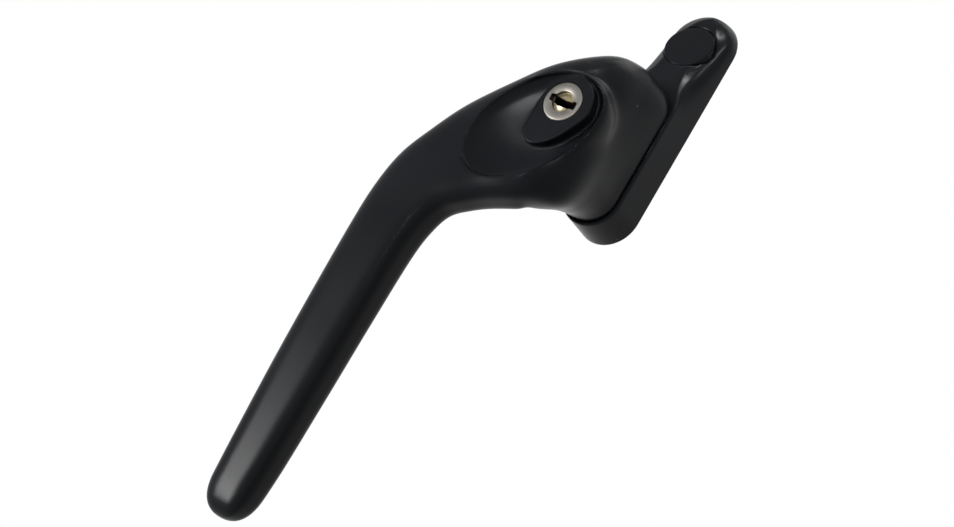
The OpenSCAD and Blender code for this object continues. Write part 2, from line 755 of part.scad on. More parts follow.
module bolt_spring() {
    z = guide_z + guide_t + stack_gap;
    color([0.6, 0.6, 0.62]) on_sash() at_lock() translate([0, 0, z])
        coil(bolt_r + 3 * bolt_wire_r, bolt_wire_r, bolt_head_z - stack_gap - z, bolt_turns);
}

base_plate();
screw_cap();
pivot_bush();
back_plate();
wave_washer();
retaining_ring();
upper_detent_ball();
lower_detent_ball();
upper_detent_spring();
lower_detent_spring();
lever();
lock_barrel();
barrel_pin();
lock_plug();
plug_face();
wafer_1();
wafer_2();
wafer_3();
wafer_4();
wafer_spring_1();
wafer_spring_2();
wafer_spring_3();
wafer_spring_4();
plug_clip();
lock_cam();
lock_bolt();
bolt_guide();
bolt_spring();
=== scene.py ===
# %% [markdown]
# # A cranked window handle with a key lock
# The part is a slim base plate with a snap-in screw cap, and one die-cast lever that turns on it.
# The lever has a scooped oval dish with a small key lock in it, and a long grip to the side.
# Everything is in metres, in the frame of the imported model: +X to the right as seen from the room,
# +Z up the plate, and -Y out into the room. The turning axis is the Y axis.

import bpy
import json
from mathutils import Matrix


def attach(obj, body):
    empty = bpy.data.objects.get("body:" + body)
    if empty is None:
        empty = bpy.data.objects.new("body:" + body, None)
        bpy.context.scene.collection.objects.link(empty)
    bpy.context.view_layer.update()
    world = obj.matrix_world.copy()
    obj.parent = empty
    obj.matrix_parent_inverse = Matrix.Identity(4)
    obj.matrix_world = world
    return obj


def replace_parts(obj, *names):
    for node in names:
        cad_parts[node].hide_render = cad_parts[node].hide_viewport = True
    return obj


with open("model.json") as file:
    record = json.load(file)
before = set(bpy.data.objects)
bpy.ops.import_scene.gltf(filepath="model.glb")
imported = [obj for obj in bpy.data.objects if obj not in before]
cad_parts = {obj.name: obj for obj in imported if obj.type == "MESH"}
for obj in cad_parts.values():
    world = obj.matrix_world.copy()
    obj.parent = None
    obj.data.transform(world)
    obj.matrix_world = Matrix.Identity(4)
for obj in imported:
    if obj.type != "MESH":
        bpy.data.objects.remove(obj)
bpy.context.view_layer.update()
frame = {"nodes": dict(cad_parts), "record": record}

# %% [markdown]
# ## The view
# The camera stands below and to the right of the handle and looks up at it, rolled by about thirty
# degrees, so the plate's top end points up and right. It is a short telephoto lens.

# %% Place the camera
import json
import math

import bpy
from mathutils import Matrix, Quaternion, Vector

CAMERA_PLACE = (0.273956, -0.416351, -0.134325)
CAMERA_TURN = (0.541046, 0.761412, 0.034704, 0.355409)

scene = bpy.context.scene
scene.view_settings.view_transform = "Standard"
bpy.ops.object.camera_add(location=CAMERA_PLACE)
camera = bpy.context.object
camera.name = "photo_camera"
camera.rotation_mode = "QUATERNION"
camera.rotation_quaternion = Quaternion(CAMERA_TURN)
camera.data.sensor_width = 36
camera.data.lens = 76.7574
camera.data.clip_start = 0.02
camera.data.clip_end = 20
scene.camera = camera
print("lens", camera.data.lens, "mm")

# %% [markdown]
# ## Working in the plate's view
# The handle is easiest to think of as a drawing of its front: across, up the plate, and out of the
# sash, in millimetres. One helper turns such a point into the frame's metres. The others select
# just one piece, apply a modifier, cut one piece with another, close a skin and shade it, as one
# would by hand.

# %% Helpers for placing and cutting
MM = 0.001


def put(across, up, out):
    return Vector((across, -out, up)) * MM


def mix(a, b, share):
    return a + (b - a) * share


def smooth(share):
    share = max(0.0, min(1.0, share))
    return share * share * (3 - 2 * share)


def only(piece):
    if bpy.context.mode != "OBJECT":
        bpy.ops.object.mode_set(mode="OBJECT")
    bpy.ops.object.select_all(action="DESELECT")
    if piece:
        piece.select_set(True)
        bpy.context.view_layer.objects.active = piece


def finished_by(piece, kind, **values):
    only(piece)
    modifier = piece.modifiers.new(kind.lower(), kind)
    for name, value in values.items():
        setattr(modifier, name, value)
    bpy.ops.object.modifier_apply(modifier=modifier.name)


def cut(piece, tool, operation="DIFFERENCE"):
    finished_by(piece, "BOOLEAN", object=tool, operation=operation, solver="EXACT")
    mesh = tool.data
    bpy.data.objects.remove(tool)
    bpy.data.meshes.remove(mesh)


def closed(piece):
    only(piece)
    bpy.ops.object.mode_set(mode="EDIT")
    bpy.ops.mesh.select_all(action="SELECT")
    bpy.ops.mesh.remove_doubles(threshold=0.000002)
    bpy.ops.mesh.select_all(action="SELECT")
    bpy.ops.mesh.fill_holes(sides=0)
    bpy.ops.mesh.select_all(action="SELECT")
    bpy.ops.mesh.normals_make_consistent(inside=False)
    bpy.ops.object.mode_set(mode="OBJECT")
    return piece


def smoothed(piece, angle=35):
    only(piece)
    bpy.ops.object.shade_smooth_by_angle(angle=math.radians(angle))
    print(piece.name, len(piece.data.polygons), "faces")
    return piece


# %% [markdown]
# ## Laying a grid round sections
# A cast form like this lever has no straight lines to extrude. It is described by sections, one
# after another along its middle. A grid is added, and each of its rows is laid round one section.
# The two long edges meet, their doubled points are merged, and the two ends are filled.

# %% Lay a grid round a row of sections
def laid_round(name, rings):
    around, rows = len(rings[0]), len(rings)
    only(None)
    bpy.ops.mesh.primitive_grid_add(x_subdivisions=around, y_subdivisions=rows - 1, size=2)
    piece = bpy.context.object
    piece.name = piece.data.name = name
    for point in piece.data.vertices:
        place = round((point.co.x + 1) / 2 * around) % around
        row = round((point.co.y + 1) / 2 * (rows - 1))
        point.co = rings[row][place]
    return closed(piece)


# %% Smooth curves and simple outlines
def between(p0, p1, p2, p3, t):
    """A place on the smooth curve from p1 to p2, where t is the share of the way."""
    return [0.5 * (2 * b + (c - a) * t + (2 * a - 5 * b + 4 * c - d) * t * t
                   + (3 * b - a - 3 * c + d) * t ** 3) for a, b, c, d in zip(p0, p1, p2, p3)]


def through(values, where):
    """A smooth curve through a list of rows of numbers, at a place counted in rows."""
    k = max(0, min(len(values) - 2, int(where)))
    last = len(values) - 1
    return between(values[max(0, k - 1)], values[k], values[min(last, k + 1)], values[min(last, k + 2)],
                   where - k)


def along(values, steps):
    """Rows of numbers along that curve, with so many steps from one given row to the next."""
    return [through(values, k / steps) for k in range((len(values) - 1) * steps + 1)]


def curve_round(points, steps):
    """A closed smooth outline through the given points."""
    wrapped = [points[-1]] + points + points[:2]
    return [between(*wrapped[k:k + 4], j / steps) for k in range(len(points)) for j in range(steps)]


def half_round(radius, middle, steps):
    """Half a circle, from its right over the top to its left."""
    return [(radius * math.cos(math.pi * k / steps), middle + radius * math.sin(math.pi * k / steps))
            for k in range(steps + 1)]


def corners(left, low, right, high):
    return [(left, low), (right, low), (right, high), (left, high)]


# %% [markdown]
# ## Turned and straight pieces
# The hub, the lock's disc and the plug's nose are turned on a lathe, so each is drawn as half of
# its profile and spun about its axis. A profile starts as a circle with one point taken out, which
# leaves a chain of points to place. The spun skin's doubles are merged and its ends filled.
# Straight-sided pieces are a filled outline that is extruded. Most of them are tools that cut.

# %% Spin a profile about an axis out of the sash
def turned(name, profile, across=0.0, up=0.0, steps=96):
    only(None)
    bpy.ops.mesh.primitive_circle_add(vertices=len(profile) + 1, fill_type="NOTHING")
    piece = bpy.context.object
    piece.name = piece.data.name = name
    bpy.ops.object.mode_set(mode="EDIT")
    bpy.ops.mesh.select_all(action="DESELECT")
    bpy.ops.object.mode_set(mode="OBJECT")
    piece.data.vertices[len(profile)].select = True
    bpy.ops.object.mode_set(mode="EDIT")
    bpy.ops.mesh.delete(type="VERT")
    bpy.ops.object.mode_set(mode="OBJECT")
    for point, (radius, out) in zip(piece.data.vertices, profile):
        point.co = put(across + radius, up, out)
    bpy.ops.object.mode_set(mode="EDIT")
    bpy.ops.mesh.select_all(action="SELECT")
    bpy.ops.mesh.spin(steps=steps, angle=2 * math.pi, center=put(across, up, 0), axis=(0, 1, 0))
    return closed(piece)


# %% Straight-sided pieces and posts
def swept(name, points, way):
    """A closed outline of points, filled and extruded along a way."""
    only(None)
    bpy.ops.mesh.primitive_circle_add(vertices=len(points), fill_type="NGON")
    piece = bpy.context.object
    piece.name = piece.data.name = name
    for vertex, point in zip(piece.data.vertices, points):
        vertex.co = point
    bpy.ops.object.mode_set(mode="EDIT")
    bpy.ops.mesh.select_all(action="SELECT")
    bpy.ops.mesh.extrude_region_move(TRANSFORM_OT_translate={"value": way})
    return closed(piece)


def prism(name, outline, low, high):
    """A straight-sided piece over a closed outline in the plate's view."""
    return swept(name, [put(across, up, low) for across, up in outline], put(0, 0, high - low))


def pill(name, radius, length, low, high, steps=24):
    half = half_round(radius, length / 2 - radius, steps)
    return prism(name, half + [(-across, -up) for across, up in half], low, high)


def post(name, radius, low, high, across=0.0, up=0.0):
    return turned(name, [(0, low), (radius, low), (radius, high), (0, high)], across, up)


# %% [markdown]
# ## Sizes
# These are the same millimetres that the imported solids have, so every dressed piece lies on the
# solid that it stands for. Names that end in _r are radii, and _h are heights out of the sash.

# %% Sizes shared by several pieces
plate_r, plate_c = 8.7, 24.5
boss_h, pedestal_h, seam_h = 7.6, 11.1, 11.6
slope_top, shoulder_l, end_square = 8.0, 12.5, 0.3
screw_up, screw_r, screw_head_r, screw_seat_h = 21.5, 2.65, 4.6, 2.6
end_fall = (pedestal_h - boss_h) / (screw_up - slope_top)
cap_r, cap_seat_r, cap_seat_deep = 6.5, 6.63, 2.2
recess_r, recess_l, recess_h = 7.5, 30.4, 3
hub_r, hub_back_h, ring_r = 6.0, 0.2, 5.35
socket_half, socket_round_r, socket_top_h = 3.55, 4.7, 11.9
bush_in_r, bush_r, flange_r = 6.05, 6.9, 7.1
way_l, ball_r, ball_h = 12.2, 1.3, 4.3
lock_side, lock_drop = -1.6, -13.9
lock_h, bore_r = 39.5, 5.23
face_r, eye_r, face_h, face_t = 5.15, 2.7, 38.2, 1.4
face_top = face_h + face_t
bolt_hole_r, bolt_hole_h = 1.95, 8.45
bolt_way_r, bolt_way_half = 5.03, 4.024
below, above = -1, 12  # where a cut through the plate starts and ends
print("seam at", seam_h, "mm, lock face at", face_top, "mm")

# %% [markdown]
# ## Base plate
# The real plate is a casting: flat on top under the lever, with a small rounded edge. Above the
# lever its top face slopes down as a narrowing flat strip, and the shoulders beside that strip fall
# away to the side walls. It is laid up as rings from its back edge to its crown, each ring a share
# of the outline's width and of the height. It starts below the sash, so that its back edge can be
# cut off sharp after the softening.

# %% The plate's outline and its rings
# shares of the half width and of the height, from the back edge to the crown
FLAT = [(1, 0), (0.985, 0.3), (0.972, 0.62), (0.966, 0.8), (0.962, 0.93), (0.957, 0.975),
        (0.945, 0.995), (0.928, 1), (0.7, 1), (0.3, 1), (0, 1)]
FALL = [(1, 0), (0.985, 0.3), (0.95, 0.5), (0.87, 0.66), (0.74, 0.79), (0.6, 0.893), (0.5, 0.972),
        (0.455, 0.998), (0.36, 1), (0.15, 1), (0, 1)]


def top_h(up):
    return pedestal_h - end_fall * max(0.0, up - slope_top)


def plate_outline(steps=24, side=49):
    right = [(plate_r, mix(-plate_c, plate_c, k / side)) for k in range(side)]
    half = right + half_round(plate_r, plate_c, steps)[:-1]
    return half + [(-across, -up) for across, up in half]


def plate_rings(steps=3, spare=1.5):
    edge = plate_outline()
    back = [max(-plate_c, min(plate_c, up)) for across, up in edge]
    rings = [[put(0, spine, -spare) for spine in back], [put(across, up, -spare) for across, up in edge]]
    for flat, fall in zip(along(FLAT, steps), along(FALL, steps)):
        ring = []
        for (across, up), spine in zip(edge, back):
            sided = mix(end_square, 1, abs(across) / plate_r)
            gone = (up - slope_top) / shoulder_l
            wide = max(0.0, mix(flat[0], fall[0], sided * smooth(gone + 0.5)))
            high = min(1.0, mix(flat[1], fall[1], sided * smooth(gone / 1.8 + 0.25)))
            place = spine + (up - spine) * wide * (1 - (0.05 * high if up > 0 else 0))
            ring.append(put(across * wide, place, top_h(place) * high))
        rings.append(ring)
    return rings


# %% Shape the plate and soften it like a casting
def cast_soft(piece, grain, passes):
    """Skins the piece again with even small faces and relaxes them, which rounds each edge."""
    finished_by(piece, "REMESH", mode="VOXEL", voxel_size=grain * MM, adaptivity=0)
    finished_by(piece, "SMOOTH", factor=0.5, iterations=passes)


def at_cap(piece):
    """Tips a piece drawn on the frame's origin over into the sloping face, at the upper screw."""
    only(piece)
    bpy.ops.object.mode_set(mode="EDIT")
    bpy.ops.mesh.select_all(action="SELECT")
    bpy.ops.transform.rotate(value=math.atan(end_fall), orient_axis="X", orient_type="GLOBAL",
                             center_override=(0, 0, 0))
    bpy.ops.transform.translate(value=put(0, screw_up, boss_h))
    bpy.ops.object.mode_set(mode="OBJECT")
    return piece


plate = laid_round("base_plate_casting", plate_rings())
cut(plate, at_cap(post("cap_seat", cap_seat_r, -cap_seat_deep, 5)))
cast_soft(plate, grain=0.3, passes=4)
cut(plate, prism("below_sash", corners(-20, -50, 20, 50), -5, 0))
cut(plate, pill("back_recess", recess_r, recess_l, below, recess_h))
cut(plate, post("bush_bore", bush_r, below, above))
for side in (-1, 1):
    cut(plate, turned("screw_hole", [(0, below), (screw_r, below), (screw_r, screw_seat_h),
                                     (screw_head_r, screw_seat_h), (screw_head_r, above), (0, above)],
                      up=side * screw_up))
cut(plate, post("bolt_hole", bolt_hole_r, bolt_hole_h, above, lock_side, lock_drop))
print("plate box", [round(v, 2) for v in plate.dimensions * 1000])

# %% [markdown]
# The two detent balls lie in short ways that run up and down from the hub's bore. Each is cut with
# a bar whose inner end is open to the recess.

# %% Cut the two ball ways
def ball_way(name, side):
    arch = half_round(ball_r, recess_h + ball_r, 16) + [(-ball_r, 2.6), (ball_r, 2.6)]
    return swept(name, [put(across, 0, out) for across, out in arch], put(0, side * way_l, 0))


for side in (-1, 1):
    cut(plate, ball_way("ball_way", side))
smoothed(plate)
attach(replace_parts(plate, "base_plate"), "plate")

# %% [markdown]
# ## Pivot bush
# The brass bush that carries the hub ends in a thin flange in the seam. It is spun with a smaller
# flange than the head above it, so the seam stays a dark line.

# %% Turn the bush
bush = turned("pivot_bush_turned", [
    (bush_in_r, recess_h), (6.85, recess_h), (6.88, 3.1), (6.88, pedestal_h), (flange_r, pedestal_h),
    (flange_r, 11.45), (7.05, 11.5), (6.15, 11.5), (bush_in_r, 11.4)])
for side in (-1, 1):
    cut(bush, ball_way("ball_way", side))
smoothed(bush)
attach(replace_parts(bush, "pivot_bush"), "plate")

# %% [markdown]
# ## Screw cap
# The cap is a plastic disc with an eased edge. It lies in a round seat in the sloping face, flush
# at its upper and lower end and proud of the falling shoulders, where its side wall shows. It is
# spun on the origin and then tipped over into the slope.

# %% Spin the cap and tip it into place
eased = [(6.05 + 0.45 * math.sin(math.radians(a)), -0.45 + 0.42 * math.cos(math.radians(a)))
         for a in range(90, -1, -15)]
cap = turned("screw_cap_shell", [(5.5, -2.15), (cap_r, -2.15)] + eased
             + [(4.5, 0), (0, 0), (0, -1), (5.5, -1)], steps=128)
at_cap(cap)
smoothed(cap, 30)
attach(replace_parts(cap, "screw_cap"), "plate")

# %% [markdown]
# ## Lever casting
# The lever's head stands on the plate as a long oval, then bends out and to the left into the neck
# and runs down as a tapering grip. Each station below has its centre, its tilt out of the plate's
# plane, its turn down the sash and its four half widths. The quarter of each section between the
# front and the under side has a harder corner, which is the soft ridge that runs down the grip.

# %% Stations from the head's foot to the start of the tip
crank, drop, reach, out_mid = 28.0, 62.0, 138.0, 38.2
head_r, head_mid, head_half = 7.5085, 12.25, 19.7542
grip_half_w, grip_half_h = 8.95, 5.6
# across, down, out, tilt, turn, and the half widths at the top, under, front and back
FOOT = [(0, 0, 0, 0, 0, 1, 1, 1, 1),
        (0.01, 0.005, 0.165, 0, 0, 1.02, 1.025, 1.02, 1.04),
        (0.035, 0.02, 0.39, 8, 3, 1.05, 1.07, 1.12, 1.12),
        (0.03, 0.075, 0.665, 30, 10, 1.07, 1.045, 1.15, 1.06)]
NECK = [(0.18, 0.325, 0.885, 55, 20, 1.86, 2.27, 1.43, 1.38),
        (0.345, 0.42, 0.945, 75, 32, 1.65, 1.97, 1.27, 1.27),
        (0.605, 0.528, 0.96, 88, 42, 1.43, 1.65, 1.16, 1.22),
        (0.79, 0.62, 0.98, 90, 52, 1.19, 1.47, 1.08, 1.11),
        (0.93, 0.722, 0.99, 90, 65, 1.08, 1.28, 1.03, 1.04),
        (0.992, 0.846, 0.995, 90, 78, 1.01, 1.15, 1, 1.01),
        (1.002, 1, 1, 90, 88, 0.97, 1.04, 1, 0.98)]
GRIP = [(0.995, 0.24, 1, 90, 90, 0.93, 0.99, 0.98, 0.95),
        (0.975, 0.5, 1, 90, 90, 0.89, 0.93, 0.96, 0.92),
        (0.952, 0.76, 1, 90, 90, 0.81, 0.85, 0.92, 0.88),
        (0.945, 0.875, 1, 90, 90, 0.755, 0.79, 0.89, 0.85)]
# how far into the tip, and how wide it still is there
TIP = [(0, 1), (0.26, 0.972), (0.5, 0.9), (0.7, 0.78), (0.86, 0.6), (0.96, 0.37), (1, 0.14), (1, 0)]


def station(row, start, run, wide, deep):
    across, down, out, tilt, turn, top, under, front, back = row
    return (-crank * across, -start - run * down, mix(seam_h, out_mid, out), tilt, turn,
            wide * top, wide * under, deep * front, deep * back)


stations = [station(row, head_mid, drop, head_half, head_r) for row in FOOT]
stations += [station(row, 0, drop, grip_half_w, grip_half_h) for row in NECK]
stations += [station(row, drop, reach - drop, grip_half_w, grip_half_h) for row in GRIP]
print(len(stations), "stations")


# %% Turn a station into a ring of points
def quarter(wide, deep, corner_wide, corner_deep, power, which, steps=22):
    points = []
    for k in range(steps):
        angle = math.radians(90 * k / steps)
        if which % 2:
            angle = math.pi / 2 - angle
        x = wide * (1 - corner_wide + corner_wide * max(0.0, math.cos(angle)) ** (2 / power))
        y = deep * (1 - corner_deep + corner_deep * max(0.0, math.sin(angle)) ** (2 / power))
        points.append((x if which in (0, 3) else -x, y if which < 2 else -y))
    return points


def section(row, far):
    """An ellipse at the foot, which turns into the grip's squarer form as far goes from 0 to 1."""
    top, under, front, back = row[5:9]
    corner_wide = mix(min(1.0, front / top), 0.9, far)
    corner_deep = mix(1, 0.92, far)
    power, ridge = mix(2, 2.7, far), mix(2, 4.6, far)
    return (quarter(top, front, corner_wide, corner_deep, power, 0)
            + quarter(under, front, corner_wide, corner_deep, ridge, 1)
            + quarter(under, back, corner_wide, corner_deep, power, 2)
            + quarter(top, back, corner_wide, corner_deep, power, 3))


def ring_at(row, points, scale=1.0, shift=0.0):
    """Stands a section's points up at its station, by its tilt and its turn."""
    tilt, turn = math.radians(row[3]), math.radians(row[4])
    heading = Vector((-math.cos(turn), -math.sin(turn), 0))
    side = Vector((-math.sin(turn), math.cos(turn), 0))
    front = -math.cos(tilt) * heading + Vector((0, 0, math.sin(tilt)))
    ring = []
    for x, y in points:
        place = Vector(row[:3]) + side * x * scale + front * y * scale
        ring.append(put(place.x, place.y + shift, place.z))
    return ring


def lever_rings(steps=12, spare=2):
    foot = stations[0]
    sunk = foot[:2] + (foot[2] - spare,) + foot[3:]
    rings = [ring_at(sunk, section(foot, 0), 0.0), ring_at(sunk, section(foot, 0))]
    for k in range((len(stations) - 1) * steps):
        row = through(stations, k / steps)
        rings.append(ring_at(row, section(row, smooth((k / steps - 0.5) / len(FOOT)))))
    end = stations[-1]
    tip_l = reach + end[1]
    for share, scale in along(TIP[:-1], 3) + [TIP[-1]]:
        rings.append(ring_at(end, section(end, 1), max(0.0, scale), -tip_l * min(1.0, share)))
    return rings


# %% [markdown]
# The dish is a shallow oval bowl that leans to the right. Its tool is a stack of ovals, from a wide
# mouth above the casting down to the bottom of the bowl. A brim of the same oval first fills the
# head out to the right, so the bowl's rim is one closed line. The flat boss round the lock is a
# straight prism that stands up from the bowl, with a tail down to the left.

# %% The dish tool and the boss round the lock
HARD_DISH = [(1.16, 2.2), (1.0, 0), (0.96, -0.45), (0.88, -0.75), (0.72, -0.93), (0.4, -1), (0.1, -1),
             (0, -1)]
SOFT_DISH = [(1.16, 2.2), (1.0, 0.05), (0.95, -0.06), (0.86, -0.25), (0.68, -0.6), (0.4, -0.92),
             (0.1, -1), (0, -1)]
BRIM = [(0, -9), (0.98, -9), (1.025, -5), (1.035, -1.5), (1.025, -0.3), (1.01, 0), (0, 0)]
POD = [(1.02, -0.02), (0.9, 0.45), (0.66, 0.75), (0.3, 0.95), (-0.1, 0.99), (-0.4, 0.82), (-0.62, 0.6),
       (-0.72, 0.42), (-0.74, -1.12), (-0.68, -1.4), (-0.5, -1.54), (-0.2, -1.56), (0.1, -1.44),
       (0.42, -1.18), (0.72, -0.74), (0.92, -0.38)]
pod_r = 7.8
dish_up, dish_down, dish_half_w, dish_deep = 19.2, 18.0, 11.2, 2.6
dish_middle, dish_lean, dish_turn = (-5.48, -22.65, 41.12), 14, 54.8
dish_place = (Matrix.Translation(dish_middle) @ Matrix.Rotation(math.radians(dish_lean), 4, "Y")
              @ Matrix.Rotation(math.radians(dish_turn), 4, "Z"))


def oval_point(wide, high, angle, upright=0.0):
    long = dish_up if math.cos(angle) > 0 else dish_down
    flat = Vector((long * wide * math.cos(angle), dish_half_w * wide * math.sin(angle), high))
    return put(*(dish_place @ flat + Vector((0, 0, upright))))


def dish_tool(around=120):
    """The bowl's wall is steep, except at the far left end, where the bowl fades out."""
    rings = []
    for hard, soft in zip(along(HARD_DISH, 4), along(SOFT_DISH, 4)):
        ring = []
        for k in range(around):
            angle = 2 * math.pi * k / around
            share = max(0.0, -math.cos(angle - 0.1)) ** 1.5
            wide, high = mix(hard[0], soft[0], share), dish_deep * mix(hard[1], soft[1], share)
            ring.append(oval_point(wide, high, angle))
        rings.append(ring)
    return laid_round("dish_tool", rings)


def dish_brim(around=120):
    """Stands to the rim on the right; to the left it sinks under the casting's own surface."""
    rings = []
    for wide, high in BRIM:
        ring = []
        for k in range(around):
            angle = 2 * math.pi * k / around
            sunk = dish_deep * smooth(2 * math.cos(angle - 2.7) - 0.2) * (1 if wide else 0)
            ring.append(oval_point(wide, 0, angle, high - sunk))
        rings.append(ring)
    return laid_round("dish_brim", rings)


pod_outline = [(lock_side + pod_r * x, lock_drop + pod_r * y) for x, y in curve_round(POD, 4)]
print(len(pod_outline), "points round the lock's boss")

# %% [markdown]
# The casting is skinned with small even faces and relaxed twice, once before the bowl is cut and
# once after it. Between the two, only the part where the brim joins the head on the right is
# relaxed far more, so no crease is left there. Thinned to about half its faces, it then gets normals
# that lean to the larger faces, which keeps its long highlights even.

# %% Shape the lever, soften it, then bore it for the lock
lever = laid_round("lever_casting", lever_rings())
cut(lever, dish_brim(), "UNION")
cast_soft(lever, grain=0.45, passes=12)
blend = lever.vertex_groups.new(name="blend")
for point in lever.data.vertices:
    across, out = point.co.x / MM, -point.co.y / MM
    # right of the axis, clear of the seam and short of the dish's rim
    weight = smooth(across / 4) * smooth((out - 20) / 5) * smooth((44.5 - out) / 3)
    if weight > 0:
        blend.add([point.index], weight, "REPLACE")
finished_by(lever, "SMOOTH", factor=0.5, iterations=110, vertex_group="blend")
cut(lever, dish_tool())
cut(lever, prism("lock_boss", pod_outline, 32.6, lock_h), "UNION")
cast_soft(lever, grain=0.28, passes=4)
finished_by(lever, "DECIMATE", ratio=0.55)
cut(lever, prism("below_seam", corners(-20, -40, 20, 20), 5, seam_h))
cut(lever, post("lock_bore", bore_r, 17, 45, lock_side, lock_drop))
way = post("bolt_way", bolt_way_r, 10, 24, lock_side, lock_drop)
flats = corners(lock_side - 8, lock_drop - bolt_way_half, lock_side + 8, lock_drop + bolt_way_half)
cut(way, prism("bolt_flats", flats, 9, 25), "INTERSECT")
cut(lever, way)
smoothed(lever)
finished_by(lever, "WEIGHTED_NORMAL", keep_sharp=True, weight=50)
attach(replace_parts(lever, "lever"), "handle")
print("lever box", [round(v, 2) for v in lever.dimensions * 1000])

# %% [markdown]
# ## Hub
# The hub is turned from the same casting and runs in the plate's bush. It has a round groove for
# the detent balls, a narrow one for the retaining ring, and a square socket with eased corners.

# %% Turn the hub and cut its socket
groove = [(7.0 - ball_r * math.sin(math.radians(a)), ball_h - ball_r * math.cos(math.radians(a)))
          for a in range(40, 141, 10)]
hub_profile = [(0, hub_back_h), (5.8, hub_back_h), (hub_r, 0.4), (hub_r, 0.5), (ring_r, 0.5),
               (ring_r, 1.3), (hub_r, 1.3)]
hub_profile += [(min(r, hub_r), out) for r, out in groove] + [(hub_r, seam_h + 0.4), (0, seam_h + 0.4)]
hub = turned("lever_hub", hub_profile)
socket = post("socket_round", socket_round_r, below, socket_top_h)
square = corners(-socket_half, -socket_half, socket_half, socket_half)
cut(socket, prism("socket_square", square, -2, 13), "INTERSECT")
cut(hub, socket)
smoothed(hub)
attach(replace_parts(hub, "lever"), "handle")

# %% [markdown]
# ## Lock face and plug
# The lock shows as a nickel disc with a bevelled rim. A round eye in it lets the domed brass end of
# the plug show, and one wavy key slot runs across both. Disc and dome are spun, and one slot tool
# cuts them.

# %% Turn the disc and the plug's nose, then cut the key slot
slot_half_l, slot_half_w = 3.9, 0.95
SLOT = [(-1, 1), (-0.58, 1.25), (-0.28, 0.8), (0.2, 0.6), (0.5, 0.68), (0.86, 0.95), (1.03, 0.68),
        (1.03, -1.28), (0.63, -1.3), (0.18, -1.38), (-0.22, -1.4), (-0.63, -1), (-0.96, -0.72)]


def slot_tool():
    outline = [(lock_side + slot_half_l * x, lock_drop + slot_half_w * y) for x, y in SLOT]
    return prism("slot_tool", outline, face_h - 1, face_top + 1)


disc = turned("lock_disc", [
    (eye_r, face_h), (face_r, face_h), (face_r, face_top - 0.34), (face_r - 0.06, face_top - 0.17),
    (face_r - 0.17, face_top - 0.05), (face_r - 0.34, face_top), (2.86, face_top),
    (2.76, face_top - 0.05), (eye_r, face_top - 0.16), (eye_r, face_h)], lock_side, lock_drop, 128)
cut(disc, slot_tool())
smoothed(disc, 30)
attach(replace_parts(disc, "plug_face"), "plug")

dome = [(0, face_h - 0.3), (2.68, face_h - 0.3), (2.68, face_h + 0.2)]
dome += [(2.6 * math.cos(math.radians(a)), face_h + 0.2 + 1.05 * math.sin(math.radians(a)))
         for a in range(10, 90, 10)]
dome += [(0, face_h + 1.25)]
nose = turned("plug_nose", dome, lock_side, lock_drop)
cut(nose, slot_tool())
smoothed(nose, 40)
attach(nose, "plug")

# %% [markdown]
# ## Finishes
# Two shared effects are built once as node groups. One is the fine, slightly uneven skin of powder
# coat, with a few pale specks. The other is the fine turned rings and dull patches of small metal
# parts. Each material places a group with its own values, and keeps its shader to itself. In the
# key slot the metal is painted nearly black below a given depth, as painted shade of the deep slot.

# %% Build the shared effects
def new_group(name, inputs, outputs):
    group = bpy.data.node_groups.new(name, "ShaderNodeTree")
    for label, value in inputs:
        kind = "Vector" if value is None else "Color" if isinstance(value, tuple) else "Float"
        socket = group.interface.new_socket(label, in_out="INPUT", socket_type="NodeSocket" + kind)
        if value is not None:
            socket.default_value = value
    for label, kind in outputs:
        group.interface.new_socket(label, in_out="OUTPUT", socket_type=kind)
    return group, group.nodes.new("NodeGroupInput"), group.nodes.new("NodeGroupOutput")


def node(tree, kind, settings=None, **values):
    """Adds a node. Each value goes to the input of that name, or i1 to input number 1, and so on."""
    made = tree.nodes.new(kind)
    for key, value in (settings or {}).items():
        setattr(made, key, value)
    for key, value in values.items():
        socket = made.inputs[key] if key in made.inputs else made.inputs[int(key[1:])]
        if isinstance(value, bpy.types.NodeSocket):
            tree.links.new(value, socket)
        else:
            socket.default_value = value
    return made


MADE = [("Colour", "NodeSocketColor"), ("Roughness", "NodeSocketFloat"), ("Height", "NodeSocketFloat")]
PALE_SPECK = (0.11, 0.105, 0.1, 1)


